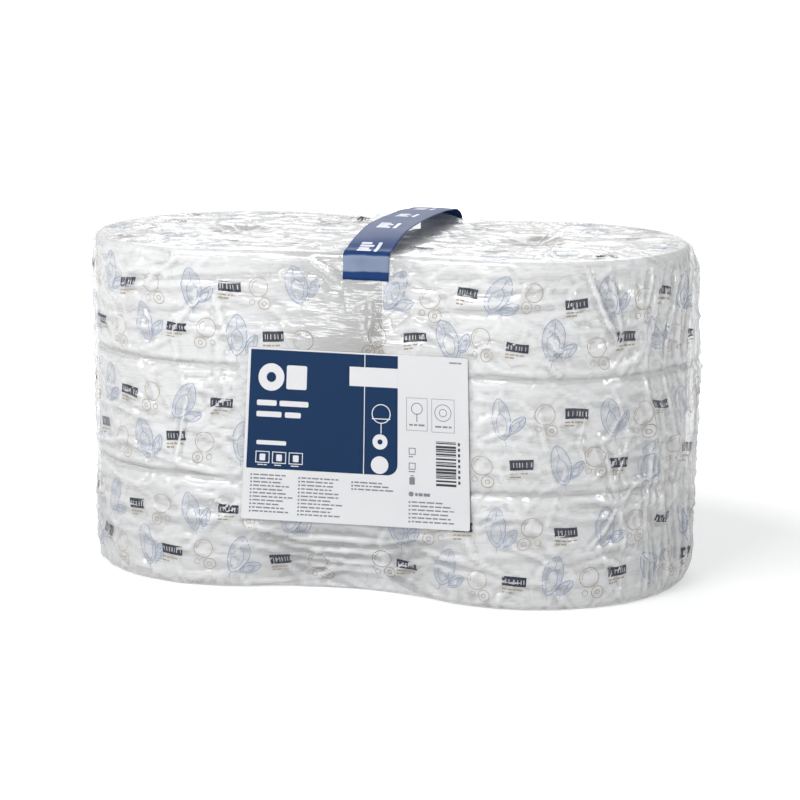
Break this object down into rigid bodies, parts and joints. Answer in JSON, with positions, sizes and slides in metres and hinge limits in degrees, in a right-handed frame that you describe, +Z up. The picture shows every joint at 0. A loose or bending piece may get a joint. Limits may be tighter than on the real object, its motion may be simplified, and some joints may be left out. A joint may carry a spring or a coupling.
{
  "type": "toilet paper roll pack",
  "caption": "Pack of large toilet rolls in two stacks side by side, wrapped in clear printed film with a carry strap over the top and a paper label on the front.",
  "frame": {"origin": "middle of the pack's underside, on the surface it stands on", "axes": "+X along the two stacks, -Y towards the side with the label, +Z up along the rolls' axes"},
  "size_m": [0.5388, 0.2635, 0.3033],
  "materials": {
    "tissue_paper": "soft matte tissue",
    "core_board": "plain grey board",
    "clear_film": "clear creased film",
    "navy_print": "print on film",
    "pale_blue_print": "print on film",
    "tan_print": "print on film",
    "strap_tape": "satin plastic tape",
    "white_ink": "flat white print",
    "label_paper": "coated label paper",
    "label_navy": "full tone print on coated paper",
    "grey_ink": "small grey print",
    "dark_ink": "small dark print"
  },
  "bodies": {
    "root": {"roll_left_bottom": "tissue_paper", "roll_left_middle": "tissue_paper", "roll_left_top": "tissue_paper", "roll_right_bottom": "tissue_paper", "roll_right_middle": "tissue_paper", "roll_right_top": "tissue_paper", "core_left_bottom": "core_board", "core_left_middle": "core_board", "core_left_top": "core_board", "core_right_bottom": "core_board", "core_right_middle": "core_board", "core_right_top": "core_board", "film_wrap": "clear_film", "film_print_bars": "navy_print", "film_print_petals": "pale_blue_print", "film_print_rings": "tan_print", "carry_strap": "strap_tape", "strap_marks": "white_ink", "label": "label_paper", "label_colour_field": "label_navy", "label_white_marks": "white_ink", "label_grey_marks": "grey_ink", "label_code_bars": "dark_ink"}
  },
  "joints": []
}
